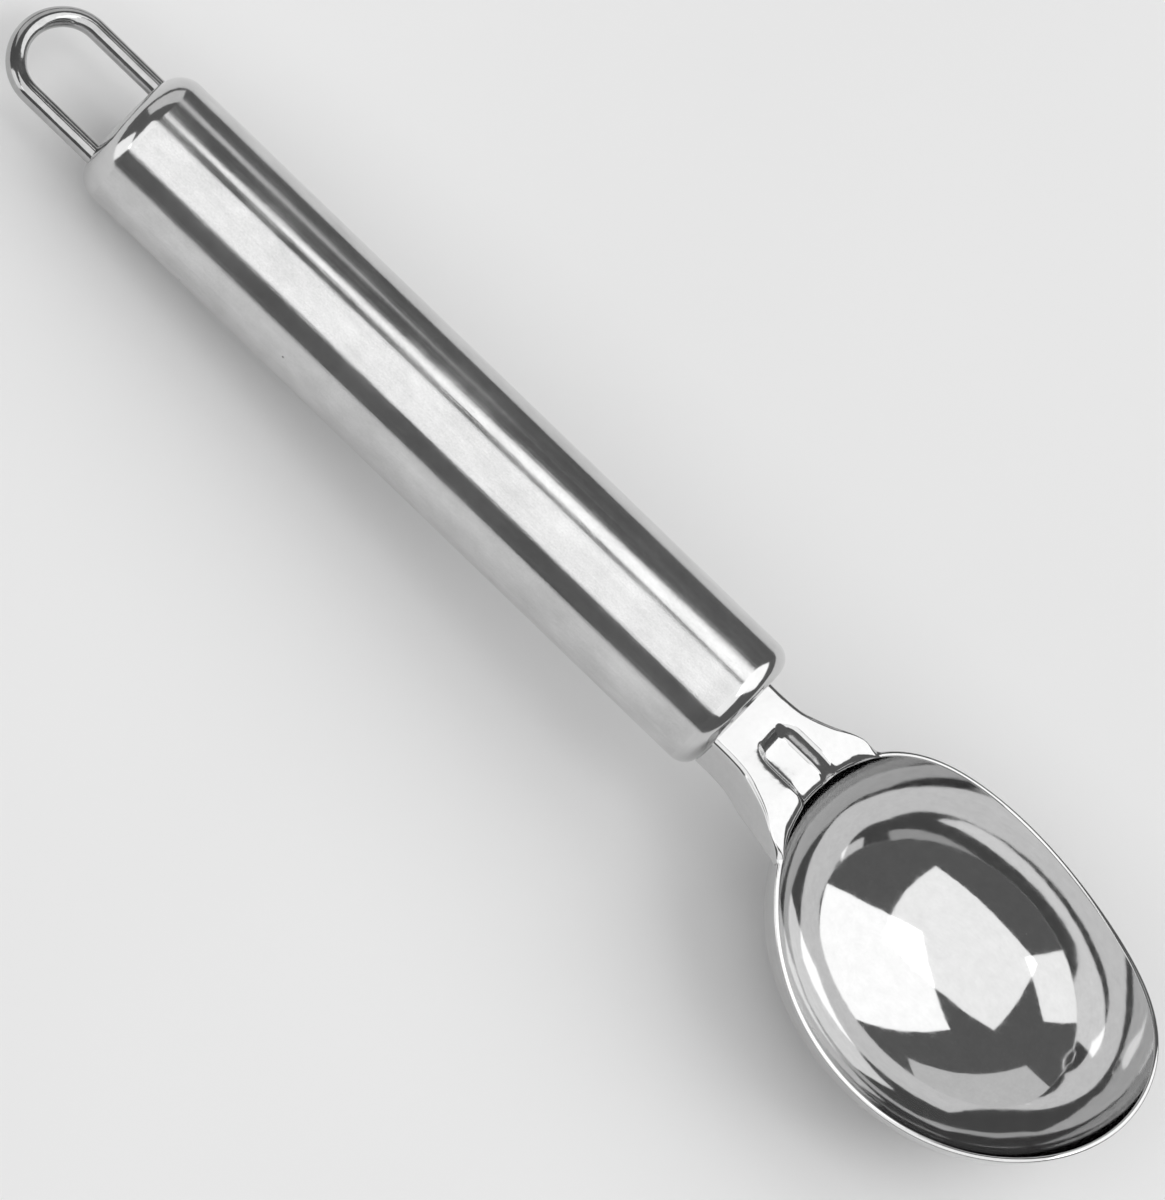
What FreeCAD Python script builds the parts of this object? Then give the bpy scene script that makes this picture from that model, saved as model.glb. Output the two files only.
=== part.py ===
import FreeCAD, Part
import math
import os
from FreeCAD import Vector

# Steel ice-cream scoop: a round hollow handle closed by two drawn end caps, a wire
# hanging loop through the rear cap, and a one-piece stamped head (tang, folded channel
# neck with a pressed groove, flared ears, bowl) welded into the front cap.
#
# Everything is drawn in the handle's own frame first: X runs along the handle towards
# the bowl with x = 0 at the handle's front face, Z is the side that the bowl opens to,
# and Y is across. At the end each piece is turned and lifted into the resting frame, in
# which the scoop stands on the bowl's bottom and on the handle's rear edge.

# ---------------------------------------------------------------- driving dimensions, mm
handle_diameter = 22.0
handle_length = 120.0
tube_wall = 0.8
rear_shoulder_r = 4.0
front_shoulder_r = 3.0
cap_skirt_length = 4.0
seam_weld_depth = 0.4
seam_weld_half_width = 0.45

wire_diameter = 3.0
leg_spacing = 14.92
loop_reach = 20.3          # from the handle's rear face to the loop's outer tip
loop_bend_depth = 6.6      # along the handle, of the loop's bent end
loop_side_r = 5.9          # centreline radius where the legs start to bend
leg_inside = 3.2           # of each leg beyond the rear face

sheet = 0.8
neck_top_z = 1.1
neck_fold_r = 0.85
tang_half_width = 6.0
tang_length = 20.0

groove_start = 4.6
groove_ramp = 2.0
groove_depth = 2.0
groove_top_half = 3.65
groove_floor_half = 2.5

bowl_centre_x = 47.22      # from the handle's front face
bowl_half_length = 31.82   # inside, at the widest level
bowl_half_width = 25.95
bowl_depth = 26.65          # from the widest level to the inside bottom
bowl_level = -1.55          # height of the widest level over the pivot of the tilt
bowl_fullness = 0.18        # 0 is an ellipsoid, 1 has the straightest upper walls
tilt_pivot_x = 46.75
tilt = 6.365               # degrees, nose up when the scoop rests on a table

# Half outline of the neck and ears in plan (x, y), from the handle to the ear's tip.
neck_plan = [(0.0, 6.8), (3.0, 6.8), (5.0, 6.93), (6.5, 7.2), (7.9, 7.65), (9.3, 8.17), (10.7, 8.75),
             (12.1, 9.45), (13.5, 10.25), (14.9, 10.95), (16.3, 11.55), (17.6, 12.25), (18.9, 13.2)]
# Height of the neck's upper face, and of its side flanges' lower edge, along x.
neck_top = [(0.0, 1.1), (11.5, 1.1), (12.6, 1.06), (13.5, 0.93), (14.5, 0.72), (16.0, 0.26), (17.5, -0.45), (19.2, -1.35)]
flange_bottom = [(0.0, -6.35), (8.0, -6.35), (10.0, -6.25), (11.6, -5.5), (13.5, -4.2), (15.0, -3.45), (17.0, -3.1), (19.2, -3.2)]
# Height of the bowl's edge in the level frame of the bowl, along x from the pivot.
rim = [(-40.0, -2.6), (-33.0, -2.5), (-30.0, -3.6), (-27.3, -4.6), (-24.0, -5.39), (-20.0, -6.52), (-16.0, -7.59), (-12.0, -8.47),
       (-8.0, -9.12), (-4.0, -9.55), (0.0, -9.75), (4.0, -9.74), (8.0, -9.47), (12.0, -8.92), (16.0, -8.02), (20.0, -6.76),
       (24.0, -5.16), (28.0, -3.35), (30.5, -2.2), (32.5, -1.65), (40.0, -1.6)]

R = handle_diameter / 2
L = handle_length


# ---------------------------------------------------------------- helpers
def poly_face(points):
    return Part.Face(Part.makePolygon([Vector(*p) for p in points] + [Vector(*points[0])]))


def spline(points):
    curve = Part.BSplineCurve()
    curve.interpolate([Vector(*p) for p in points])
    return curve.toShape()


def line(a, b):
    return Part.makeLine(Vector(*a), Vector(*b))


def revolve_x(edges):
    face = Part.Face(Part.Wire(Part.__sortEdges__(edges)))
    return face.revolve(Vector(0, 0, 0), Vector(1, 0, 0), 360)


def band_xz(upper, lower, half_y):
    """Solid between two curves of the XZ plane, from -half_y to +half_y."""
    up = [(x, -half_y, z) for x, z in upper]
    low = [(x, -half_y, z) for x, z in lower]
    wire = Part.Wire([spline(up), line(up[-1], low[-1]), spline(low), line(low[0], up[0])])
    return Part.Face(wire).extrude(Vector(0, 2 * half_y, 0))


def offset_plan(points, d):
    """The plan curve moved inward by d along its own normals."""
    out = []
    for i, (x, y) in enumerate(points):
        x0, y0 = points[max(i - 1, 0)]
        x1, y1 = points[min(i + 1, len(points) - 1)]
        n = math.hypot(x1 - x0, y1 - y0)
        out.append((x + d * (y1 - y0) / n, y - d * (x1 - x0) / n))
    return out


def one(shape, name):
    shape = shape.removeSplitter()
    solids = shape.Solids
    if len(solids) != 1:
        print(name, "has", len(solids), "solids", [round(s.Volume, 3) for s in solids])
    return max(solids, key=lambda s: s.Volume)


# ---------------------------------------------------------------- handle
def cap(sign, x_face, r_shoulder, name):
    """Drawn cup that closes one end of the tube: a flat face, a rounded shoulder as wide as
    the tube, and a skirt that fits inside the tube. sign is +1 at the front."""
    t = tube_wall
    xs = x_face - sign * r_shoulder
    rf = R - r_shoulder
    a = math.sqrt(0.5)
    gap = 0.02
    outer_mid = (xs + sign * r_shoulder * a, rf + r_shoulder * a, 0)
    inner_mid = (xs + sign * (r_shoulder - t) * a, rf + (r_shoulder - t) * a, 0)
    skirt_out, skirt_in = R - t - gap, R - 2 * t
    xe = xs - sign * cap_skirt_length
    inner_x = xs - sign * 1.0
    edges = [
        line((x_face, 0, 0), (x_face, rf, 0)),
        Part.Arc(Vector(x_face, rf, 0), Vector(*outer_mid), Vector(xs, R, 0)).toShape(),
        line((xs, R, 0), (xs, skirt_out, 0)),
        line((xs, skirt_out, 0), (xe, skirt_out, 0)),
        line((xe, skirt_out, 0), (xe, skirt_in, 0)),
        line((xe, skirt_in, 0), (inner_x, skirt_in, 0)),
        line((inner_x, skirt_in, 0), (xs, R - t, 0)),
        Part.Arc(Vector(xs, R - t, 0), Vector(*inner_mid), Vector(x_face - sign * t, rf, 0)).toShape(),
        line((x_face - sign * t, rf, 0), (x_face - sign * t, 0, 0)),
        line((x_face - sign * t, 0, 0), (x_face, 0, 0)),
    ]
    return revolve_x(edges)


def seam(x, name):
    """Weld metal in the V between the tube's end and a cap's edge, ground flush."""
    w, d = seam_weld_half_width, seam_weld_depth
    return revolve_x([line((x - w, R, 0), (x + w, R, 0)), line((x + w, R, 0), (x, R - d, 0)), line((x, R - d, 0), (x - w, R, 0))])


x_front_seam = -front_shoulder_r
x_rear_seam = -L + rear_shoulder_r
tube = Part.makeCylinder(R, x_front_seam - x_rear_seam, Vector(x_rear_seam, 0, 0), Vector(1, 0, 0)).cut(
    Part.makeCylinder(R - tube_wall, x_front_seam - x_rear_seam, Vector(x_rear_seam, 0, 0), Vector(1, 0, 0)))
front_weld = seam(x_front_seam, "front")
rear_weld = seam(x_rear_seam, "rear")
front_cap = cap(+1, 0.0, front_shoulder_r, "front_end_cap")
rear_cap = cap(-1, -L, rear_shoulder_r, "rear_end_cap")
tube = tube.cut(front_weld).cut(rear_weld)
front_cap = front_cap.cut(front_weld)
rear_cap = rear_cap.cut(rear_weld)

# ---------------------------------------------------------------- hanging loop
rw = wire_diameter / 2
yl = leg_spacing / 2
x_tip = -L - loop_reach + rw
x_bend = x_tip + loop_bend_depth
b, a_, r1 = loop_bend_depth, yl, loop_side_r
r2 = (b * b + a_ * a_ - 2 * a_ * r1) / (2 * (b - r1))
# centres of the small side arcs and of the wide end arc; s runs towards the loop's tip
c1 = (0.0, a_ - r1)
c2 = (b - r2, 0.0)
th = math.atan2(c1[1] - c2[1], c1[0] - c2[0])
join = (c2[0] + r2 * math.cos(th), c2[1] + r2 * math.sin(th))
mid_ang = (math.pi / 2 + th) / 2
mid1 = (c1[0] + r1 * math.cos(mid_ang), c1[1] + r1 * math.sin(mid_ang))


def at(s, y):
    return Vector(x_bend - s, y, 0)


x_leg = -L + leg_inside
path = Part.Wire([
    Part.makeLine(Vector(x_leg, yl, 0), at(0, yl)),
    Part.Arc(at(0, yl), at(*mid1), at(*join)).toShape(),
    Part.Arc(at(*join), at(b, 0), at(join[0], -join[1])).toShape(),
    Part.Arc(at(join[0], -join[1]), at(mid1[0], -mid1[1]), at(0, -yl)).toShape(),
    Part.makeLine(at(0, -yl), Vector(x_leg, -yl, 0)),
])
profile = Part.Wire([Part.makeCircle(rw, Vector(x_leg, yl, 0), Vector(-1, 0, 0))])
loop = path.makePipeShell([profile], True, False)
loop = loop.Solids[0] if loop.Solids else Part.Solid(loop)
print("loop volume", round(loop.Volume, 2), "expected", round(path.Length * math.pi * rw * rw, 2), "end radius", round(r2, 2))
for s in (1, -1):
    rear_cap = rear_cap.cut(Part.makeCylinder(rw, 8, Vector(-L - 2, s * yl, 0), Vector(1, 0, 0)))

# A small cone of weld metal round each leg, on the inside of the rear cap.
loop_welds = []
x_in = -L + tube_wall
for s in (1, -1):
    cone = Part.makeCone(rw + 0.9, rw, 1.5, Vector(x_in, s * yl, 0), Vector(1, 0, 0))
    bead = cone.cut(Part.makeCylinder(rw, 6, Vector(x_in - 1, s * yl, 0), Vector(1, 0, 0))).cut(rear_cap)
    # only the part inboard of the leg stays inside the shoulder
    inside = Part.makeCylinder(R - 2 * tube_wall - 0.05, 6, Vector(x_in - 1, 0, 0), Vector(1, 0, 0))
    bead = bead.common(inside)
    loop_welds.append(max(bead.Solids, key=lambda q: q.Volume))

# ---------------------------------------------------------------- head: bowl
level = FreeCAD.Placement(Vector(0, 0, 0), FreeCAD.Rotation(Vector(0, 1, 0), -tilt), Vector(0, 0, 0))


def to_handle(shape):
    """From the bowl's level frame, whose origin is the pivot, to the handle's frame."""
    s = shape.copy()
    s.rotate(Vector(0, 0, 0), Vector(0, 1, 0), tilt)
    s.translate(Vector(tilt_pivot_x, 0, 0))
    return s


def to_rest(shape, offset):
    s = shape.copy()
    s.translate(Vector(-tilt_pivot_x, 0, 0))
    s.rotate(Vector(0, 0, 0), Vector(0, 1, 0), -tilt)
    s.translate(offset)
    return s


def bowl_solid(half_len, half_wid, depth):
    """Solid of the bowl's shape from its bottom up to its widest level, with straight walls
    above. Each level is an ellipse; the profile follows
    r^2 = (2+c)q - (1+2c)q^2 + c q^3, with q the height over the bottom."""
    c = bowl_fullness
    pts = []
    n = 26
    for i in range(n + 1):
        # q grows as the square near the bottom, so that the points are even along the curve
        u = i / n
        q = 1 - math.cos(u * math.pi / 2)
        r = math.sqrt(max(0.0, (2 + c) * q - (1 + 2 * c) * q * q + c * q ** 3))
        pts.append(Vector(r, 0, q - 1))
    curve = Part.BSplineCurve()
    curve.interpolate(Points=pts, InitialTangent=Vector(1, 0, 0), FinalTangent=Vector(0, 0, 1))
    top = 0.5
    edges = [curve.toShape(), line((1, 0, 0), (1, 0, top)), line((1, 0, top), (0, 0, top)), line((0, 0, top), (0, 0, -1))]
    unit = Part.Face(Part.Wire(edges)).revolve(Vector(0, 0, 0), Vector(0, 0, 1), 360)
    m = FreeCAD.Matrix()
    m.A11, m.A22, m.A33 = half_len, half_wid, depth
    s = unit.transformGeometry(m)
    s.translate(Vector(bowl_centre_x - tilt_pivot_x, 0, bowl_level))
    return s


t = sheet
inner = bowl_solid(bowl_half_length, bowl_half_width, bowl_depth)
outer = bowl_solid(bowl_half_length + t, bowl_half_width + t, bowl_depth + t)
under_rim = band_xz(rim, [(-40.0, -40.0), (0.0, -40.0), (40.0, -40.0)], 40)
shell = outer.common(under_rim)
shell = to_handle(shell)
cavity = to_handle(inner)
outer_h = to_handle(outer)

# ---------------------------------------------------------------- head: neck and ears
fold = offset_plan(neck_plan, t)
plan_wire = Part.Wire([
    spline([(x, y, -12) for x, y in neck_plan]),
    line((neck_plan[-1][0], neck_plan[-1][1], -12), (24, neck_plan[-1][1], -12)),
    line((24, neck_plan[-1][1], -12), (24, -neck_plan[-1][1], -12)),
    line((24, -neck_plan[-1][1], -12), (neck_plan[-1][0], -neck_plan[-1][1], -12)),
    spline([(x, -y, -12) for x, y in reversed(neck_plan)]),
    line((0, -neck_plan[0][1], -12), (0, neck_plan[0][1], -12)),
])
neck_block = Part.Face(plan_wire).extrude(Vector(0, 0, 20))
in_pts = [(x if i else 0.0, y) for i, (x, y) in enumerate(fold)]
in_pts[0] = (-1.0, in_pts[0][1])
inner_wire = Part.Wire([
    spline([(x, y, -13) for x, y in in_pts]),
    line((in_pts[-1][0], in_pts[-1][1], -13), (26, in_pts[-1][1], -13)),
    line((26, in_pts[-1][1], -13), (26, -in_pts[-1][1], -13)),
    line((26, -in_pts[-1][1], -13), (in_pts[-1][0], -in_pts[-1][1], -13)),
    spline([(x, -y, -13) for x, y in reversed(in_pts)]),
    line((-1, -in_pts[0][1], -13), (-1, in_pts[0][1], -13)),
])
hollow = Part.Face(inner_wire).extrude(Vector(0, 0, 22))
top_low = [(x, z - t) for x, z in neck_top]
whole_band = band_xz(neck_top, flange_bottom, 30)      # everything between the flanges' edge and the top
under_top = band_xz([(x - (1 if i == 0 else 0), z) for i, (x, z) in enumerate(top_low)], [(-1.0, -9.0), (8.0, -9.0), (19.2, -9.0)], 30)
channel = neck_block.common(whole_band).cut(hollow.common(under_top))

# Round the long folds between the top and the flanges.
fold_edges = []
for e in channel.Edges:
    c = e.CenterOfMass
    bb = e.BoundBox
    if bb.XLength > 12 and abs(c.y) > 6.8 and bb.ZMax < neck_top_z + 0.05 and bb.ZMax > neck_top_z - 0.1 and bb.ZMin > -2.5:
        ys = [abs(v.Point.y) for v in e.Vertexes]
        if min(ys) > 6.75:
            fold_edges.append(e)
try:
    rounded = channel.makeFillet(neck_fold_r * 0.9, fold_edges)
    if rounded.isValid() and rounded.Volume > 0.8 * channel.Volume:
        channel = rounded
        print("neck folds rounded:", len(fold_edges))
    else:
        print("neck folds left square")
except Exception as err:
    print("neck folds left square:", err)

# ---------------------------------------------------------------- head: groove
def groove(extra, x_end):
    """The pressed groove's body: a trapezoid across, with a sloped rear end. extra grows it
    by the sheet's thickness to give its underside."""
    g = extra
    z0 = neck_top_z + (0.3 if g == 0 else -0.001)
    z1 = neck_top_z - groove_depth - g
    slope = (groove_top_half - groove_floor_half) / groove_depth
    wide = groove_top_half + g * 0.75 + slope * (z0 - neck_top_z)
    low = groove_floor_half + g * 0.75 - (slope * g * 0.2)
    cross = poly_face([(0, -wide, z0), (0, wide, z0), (0, low, z1), (0, -low, z1)]).extrude(Vector(x_end, 0, 0))
    xs = groove_start - g * 0.6
    ramp = groove_ramp
    side = poly_face([(xs - ramp * (z0 - neck_top_z) / groove_depth, -10, z0), (x_end, -10, z0), (x_end, -10, z1), (xs + ramp, -10, z1)]).extrude(Vector(0, 20, 0))
    return cross.common(side)


trough = groove(t, 17.5)
void = groove(0, 22.0)
groove_edges = []

tang = Part.makeBox(tang_length + 0.5, 2 * tang_half_width, t, Vector(-tang_length, -tang_half_width, neck_top_z - t))

head = shell.fuse([channel, trough, tang])
head = head.cut(cavity).cut(void)
head = one(head, "scoop_head")
print("head volume", round(head.Volume, 1), "valid", head.isValid())

# ---------------------------------------------------------------- tang slot and its welds
slot = Part.makeBox(4, 2 * tang_half_width, t, Vector(-3, -tang_half_width, neck_top_z - t))
front_cap = front_cap.cut(slot)
x_i = -tube_wall
w = tang_half_width - 0.6
beads = []
for z, s in ((neck_top_z, 1), (neck_top_z - t, -1)):
    tri = poly_face([(x_i, -w, z), (x_i - 1.4, -w, z), (x_i, -w, z + s * 1.4)])
    beads.append(tri.extrude(Vector(0, 2 * w, 0)))

# ---------------------------------------------------------------- resting frame and files
nodes = {
    "handle_tube": [one(tube, "handle_tube")],
    "front_end_cap": [one(front_cap, "front_end_cap")],
    "rear_end_cap": [one(rear_cap, "rear_end_cap")],
    "front_cap_weld": [front_weld],
    "rear_cap_weld": [rear_weld],
    "hanging_loop": [loop],
    "loop_welds": loop_welds,
    "scoop_head": [head],
    "tang_welds": beads,
}
turned = {k: [to_rest(s, Vector(0, 0, 0)) for s in v] for k, v in nodes.items()}
box = None
for v in turned.values():
    for s in v:
        bb = s.optimalBoundingBox(False, False) if hasattr(s, "optimalBoundingBox") else s.BoundBox
        box = bb if box is None else box.united(bb)
shift = Vector(-(box.XMin + box.XMax) / 2, -(box.YMin + box.YMax) / 2, -box.ZMin)
print("box", [round(x, 3) for x in (box.XMin, box.XMax, box.YMin, box.YMax, box.ZMin, box.ZMax)], "shift", shift)

os.makedirs("parts", exist_ok=True)
for name, solids in turned.items():
    moved = []
    for s in solids:
        s = s.copy()
        s.translate(shift)
        moved.append(s)
    shape = moved[0] if len(moved) == 1 else Part.makeCompound(moved)
    bad = [q for q in moved if not q.isValid()]
    shape.exportStep("parts/%s.step" % name)
    b_ = shape.BoundBox
    print("%-16s solids %d  %.1f x %.1f x %.1f  volume %.1f%s" % (name, len(moved), b_.XLength, b_.YLength, b_.ZLength, sum(q.Volume for q in moved), "  INVALID" if bad else ""))
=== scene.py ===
import math

import bmesh
import bpy
import numpy as np
from mathutils import Matrix, Vector


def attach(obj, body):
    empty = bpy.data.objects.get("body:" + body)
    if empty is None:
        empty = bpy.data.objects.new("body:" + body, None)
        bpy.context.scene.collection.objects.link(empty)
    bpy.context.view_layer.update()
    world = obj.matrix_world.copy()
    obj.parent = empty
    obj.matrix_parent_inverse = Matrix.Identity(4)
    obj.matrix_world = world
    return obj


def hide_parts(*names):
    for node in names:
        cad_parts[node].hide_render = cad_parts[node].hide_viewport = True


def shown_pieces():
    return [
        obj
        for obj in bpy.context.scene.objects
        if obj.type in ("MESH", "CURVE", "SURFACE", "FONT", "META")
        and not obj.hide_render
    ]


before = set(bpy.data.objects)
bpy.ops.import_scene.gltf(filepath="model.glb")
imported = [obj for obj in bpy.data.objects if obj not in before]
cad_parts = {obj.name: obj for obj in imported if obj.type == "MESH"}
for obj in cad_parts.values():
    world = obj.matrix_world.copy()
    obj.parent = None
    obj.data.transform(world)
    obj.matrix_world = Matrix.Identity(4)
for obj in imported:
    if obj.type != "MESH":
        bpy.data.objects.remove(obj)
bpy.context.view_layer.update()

# ------------------------------------------------------------------ the handle's own frame
# Shapes are worked out in millimetres in the handle's frame (x along the handle towards the
# bowl, 0 at the handle's front face; z out of the bowl; y across) and then put in the row frame.
TILT = math.radians(6.365)
CT, ST = math.cos(TILT), math.sin(TILT)
PIVOT = 46.75
SHIFT_X, SHIFT_Z = 76.40811878, 29.02484853


def to_row(p):
    p = np.asarray(p, float)
    dx = p[..., 0] - PIVOT
    return np.stack([(dx * CT - p[..., 2] * ST + SHIFT_X), p[..., 1], (dx * ST + p[..., 2] * CT + SHIFT_Z)], -1) / 1000.0


def dir_row(v):
    v = np.asarray(v, float)
    return np.stack([v[..., 0] * CT - v[..., 2] * ST, v[..., 1], v[..., 0] * ST + v[..., 2] * CT], -1)


def level_to_handle(p):
    """From the bowl's level frame, with its origin at the pivot, to the handle's frame."""
    p = np.asarray(p, float)
    return np.stack([p[..., 0] * CT + p[..., 2] * ST + PIVOT, p[..., 1], -p[..., 0] * ST + p[..., 2] * CT], -1)


def level_dir(v):
    v = np.asarray(v, float)
    return np.stack([v[..., 0] * CT + v[..., 2] * ST, v[..., 1], -v[..., 0] * ST + v[..., 2] * CT], -1)


def unit(v):
    return v / np.maximum(np.linalg.norm(v, axis=-1, keepdims=True), 1e-12)


# ------------------------------------------------------------------ mesh helper
class Sheets:
    """Collects grids of points that share a mesh. Points closer than a micron are one vertex."""

    def __init__(self):
        self.p, self.n, self.w, self.f = [], [], [], []
        self.count = 0

    def grid(self, pts, normals=None, flip=False, close=False, given=None):
        """pts is rows x columns x 3. normals the same or None, where Blender's own are used."""
        rows, cols = pts.shape[:2]
        base = self.count
        self.p.append(pts.reshape(-1, 3))
        if normals is None:
            self.n.append(np.zeros((rows * cols, 3)) if given is None else given.reshape(-1, 3))
        else:
            self.n.append(normals.reshape(-1, 3))
        self.count += rows * cols
        i = np.arange(rows - 1)[:, None]
        j = np.arange(cols if close else cols - 1)[None, :]
        k = (j + 1) % cols
        a = base + i * cols + j
        b = base + i * cols + k
        c = base + (i + 1) * cols + k
        d = base + (i + 1) * cols + j
        q = np.stack([a, b, c, d], -1).reshape(-1, 4)
        if normals is not None:
            flat_p, flat_n = pts.reshape(-1, 3), normals.reshape(-1, 3)
            lq = q - base
            way = np.cross(flat_p[lq[:, 2]] - flat_p[lq[:, 0]], flat_p[lq[:, 3]] - flat_p[lq[:, 1]])
            flip = (way * flat_n[lq].sum(1)).sum() < 0
        if flip:
            q = q[:, ::-1]
        self.f.append(q)

    def build(self, name, to=to_row, turn=dir_row, merge=1e-3):
        p = np.concatenate(self.p)
        n = np.concatenate(self.n)
        f = np.concatenate(self.f)
        key = np.round(p / merge).astype(np.int64)
        _, first, inverse = np.unique(key, axis=0, return_index=True, return_inverse=True)
        inverse = inverse.reshape(-1)
        pv = p[first]
        nv = np.zeros_like(pv)
        np.add.at(nv, inverse, n)
        f = inverse[f]
        faces = []
        for q in f:
            r = []
            for v in q:
                if v not in r:
                    r.append(int(v))
            if len(r) >= 3:
                faces.append(r)
        me = bpy.data.meshes.new(name)
        me.from_pydata(to(pv).tolist(), [], faces)
        me.update()
        me.validate()
        bm = bmesh.new()
        bm.from_mesh(me)
        open_edges = sum(1 for e in bm.edges if len(e.link_faces) != 2)
        if name == "head_neck":
            bmesh.ops.recalc_face_normals(bm, faces=bm.faces)
            up_faces = sum(f.normal.z * f.calc_area() for f in bm.faces if f.calc_center_median().z > 0.0265)
            if up_faces < 0:
                bmesh.ops.reverse_faces(bm, faces=bm.faces)
        print(name, "verts", len(bm.verts), "faces", len(bm.faces), "open edges", open_edges)
        bm.to_mesh(me)
        bm.free()
        me.update()
        me.shade_smooth()
        own = np.zeros(len(me.vertices) * 3, np.float32)
        me.vertices.foreach_get("normal", own)
        own = own.reshape(-1, 3).astype(float)
        wanted = turn(nv)
        has = np.linalg.norm(wanted, axis=1) > 0.3
        out = own.copy()
        out[has] = unit(wanted[has])
        me.normals_split_custom_set_from_vertices(out.tolist())
        ob = bpy.data.objects.new(name, me)
        bpy.context.scene.collection.objects.link(ob)
        return ob


# ------------------------------------------------------------------ bowl
A, B, C, ZC, XB, FULL = 31.82, 25.95, 26.65, -1.55, 0.47, 0.18
ZB = ZC - C
T = 0.8


def prof(q):
    q = np.clip(q, 0, 1)
    return np.sqrt(np.maximum((2 + FULL) * q - (1 + 2 * FULL) * q * q + FULL * q ** 3, 0))


def bowl_point(phi, q):
    """Point of the bowl's inside in the level frame; q runs 0..1 from the bottom to the widest level."""
    r = prof(q)
    return np.stack([XB + A * r * np.cos(phi), B * r * np.sin(phi), ZB + C * q], -1)


def bowl_normal(phi, q):
    """Unit normal out of the metal, into the bowl."""
    r = prof(q)
    x, y = A * r * np.cos(phi), B * r * np.sin(phi)
    gz = -((2 + FULL) - 2 * (1 + 2 * FULL) * q + 3 * FULL * q * q) / C
    g = np.stack([2 * x / A ** 2, 2 * y / B ** 2, gz], -1)
    return -unit(g)


# Height of the bowl's edge in the level frame against x: a smooth fit through listed heights.
rim_x = np.array([-27.7, -24.0, -20.0, -16.0, -12.0, -8.0, -4.0, 0.0, 4.0, 8.0, 12.0, 16.0, 20.0, 24.0, 28.0, 30.5, 32.3])
rim_z = np.array([-4.5, -5.39, -6.52, -7.59, -8.47, -9.12, -9.55, -9.75, -9.74, -9.47, -8.92, -8.02, -6.76, -5.16, -3.35, -2.3, -1.8])
rim_fit = np.polynomial.Polynomial.fit(rim_x, rim_z, 6)
EDGE = 0.22          # how far the rounded edge stands above the inner face's end


def rim_height(x):
    return rim_fit(np.clip(x, -29.5, 33.5))


# ------------------------------------------------------------------ neck
def smooth_curve(points):
    """Natural cubic spline through points, as a function."""
    x = np.array([p[0] for p in points], float)
    y = np.array([p[1] for p in points], float)
    n = len(x)
    h = np.diff(x)
    m = np.zeros((n, n))
    r = np.zeros(n)
    m[0, 0] = m[-1, -1] = 1
    for i in range(1, n - 1):
        m[i, i - 1], m[i, i], m[i, i + 1] = h[i - 1], 2 * (h[i - 1] + h[i]), h[i]
        r[i] = 6 * ((y[i + 1] - y[i]) / h[i] - (y[i] - y[i - 1]) / h[i - 1])
    k = np.linalg.solve(m, r)

    def f(v):
        v = np.asarray(v, float)
        i = np.clip(np.searchsorted(x, v) - 1, 0, n - 2)
        a, b = x[i + 1] - v, v - x[i]
        return (k[i] * a ** 3 + k[i + 1] * b ** 3) / (6 * h[i]) + (y[i] / h[i] - k[i] * h[i] / 6) * a + (y[i + 1] / h[i] - k[i + 1] * h[i] / 6) * b
    return f


top_z = smooth_curve([(-2, 1.1), (4, 1.1), (9, 1.1), (11.5, 1.1), (12.1, 1.09), (12.8, 1.02), (13.6, 0.88), (14.6, 0.62), (16.0, 0.13), (17.5, -0.5), (19.2, -1.2), (21.0, -1.98), (24.0, -3.2)])
half_y = smooth_curve([(-2, 6.8), (0, 6.8), (2.5, 6.8), (4.5, 6.9), (6.5, 7.2), (7.9, 7.65), (9.3, 8.17), (10.7, 8.75), (12.1, 9.45), (13.5, 10.25), (14.9, 10.95), (16.2, 11.52), (17.3, 12.13), (18.2, 12.9)])
flange_z = smooth_curve([(-1, -6.35), (4, -6.35), (8.0, -6.35), (9.6, -6.22), (10.8, -5.9), (12.0, -5.2), (13.2, -4.4), (14.5, -3.75), (16.0, -3.35), (17.3, -3.1), (18.4, -2.9)])

GROOVE_X, GROOVE_Y, GROOVE_HALF, GROOVE_DEEP = 4.5, 0.4, 3.6, 2.0


def groove(x, y, grow=0.0):
    """Depth of the pressed groove below the neck's upper face."""
    k = 0.6
    rc = 2.1
    xs = (x - GROOVE_X + grow * 1.2) * k
    dx = rc - xs
    dy = np.abs(y - GROOVE_Y) - (GROOVE_HALF + grow - rc)
    d = rc - (np.hypot(np.maximum(dx, 0), np.maximum(dy, 0)) + np.minimum(np.maximum(dx, dy), 0))
    w = 0.36
    run = 1.72 * ((d + np.sqrt(d * d + w * w)) / 2 - w * w / 4 / np.sqrt(d * d + 4))
    e = GROOVE_DEEP - run
    w2 = 0.42
    return GROOVE_DEEP - (e + np.sqrt(e * e + w2 * w2)) / 2


def segment_distance(px, py, line):
    """Least distance from points to a polyline."""
    a, b = line[:-1], line[1:]
    d = b - a
    ll = (d * d).sum(1)
    shape = px.shape
    px, py = px.reshape(-1, 1), py.reshape(-1, 1)
    t = np.clip(((px - a[:, 0]) * d[:, 0] + (py - a[:, 1]) * d[:, 1]) / ll, 0, 1)
    q = np.hypot(px - a[:, 0] - t * d[:, 0], py - a[:, 1] - t * d[:, 1])
    return q.min(1).reshape(shape)


HALF_COLS = 92
COLS = 2 * HALF_COLS + 1
TIP_X = 19.15                      # of the ears' tips, on the inner edge
# angle of the ear's tip about the bowl's centre, in the level frame
q_tip = (rim_height(TIP_X - PIVOT) - ZB) / C
DPHI = math.pi - math.acos((TIP_X - PIVOT - XB) / (A * float(prof(q_tip))))
s = np.linspace(-1, 1, COLS)
phi_neck = math.pi - s * DPHI                      # s = +1 is the +y ear

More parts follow.
